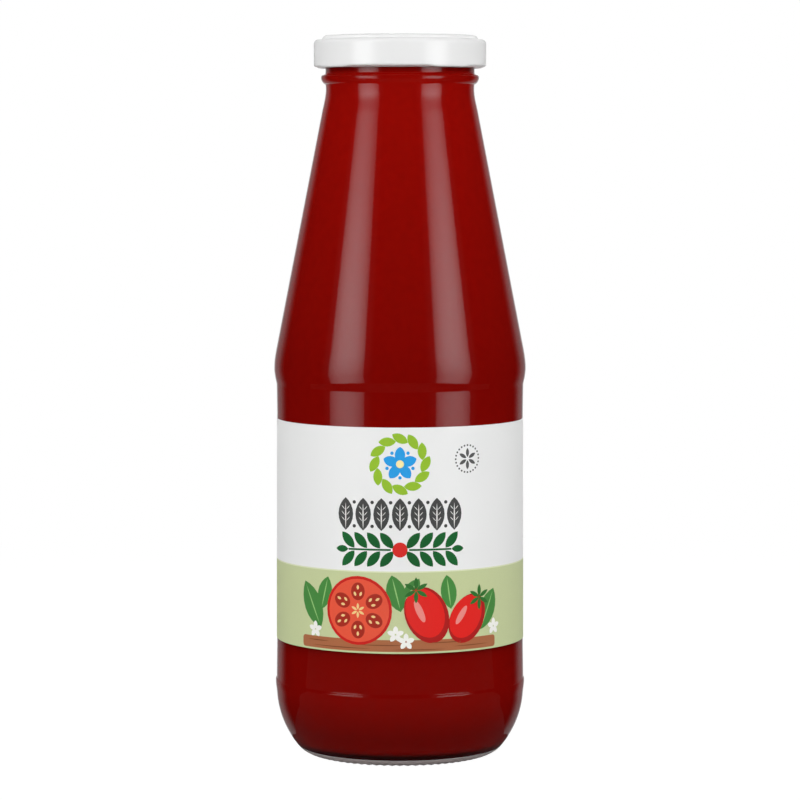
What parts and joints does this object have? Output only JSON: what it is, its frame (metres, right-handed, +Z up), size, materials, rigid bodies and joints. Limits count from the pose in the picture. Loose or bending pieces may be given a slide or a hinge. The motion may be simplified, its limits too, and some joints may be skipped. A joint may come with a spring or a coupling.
{
  "type": "passata bottle",
  "caption": "Tall clear glass bottle with a long sloping neck, full of tomato passata, with a white twist-off metal cap and a wrap-round paper label.",
  "frame": {"origin": "on the bottle's axis, in the plane of the foot that it stands on", "axes": "+Z up along the axis that the glass and the cap are turned about, -Y towards the front of the label"},
  "size_m": [0.0818, 0.0818, 0.2338],
  "materials": {
    "clear_glass": "clear flint bottle glass, fire-polished and very glossy",
    "tomato_passata": "smooth sieved tomato, deep red and opaque, wet against the glass",
    "white_lacquered_tinplate": "white lacquer on pressed tinplate, glossy with a slight flow",
    "label_paper": "coated white label paper, satin"
  },
  "bodies": {
    "root": {"bottle_glass": "clear_glass", "passata": "tomato_passata", "cap": "white_lacquered_tinplate", "label": "label_paper"}
  },
  "joints": []
}
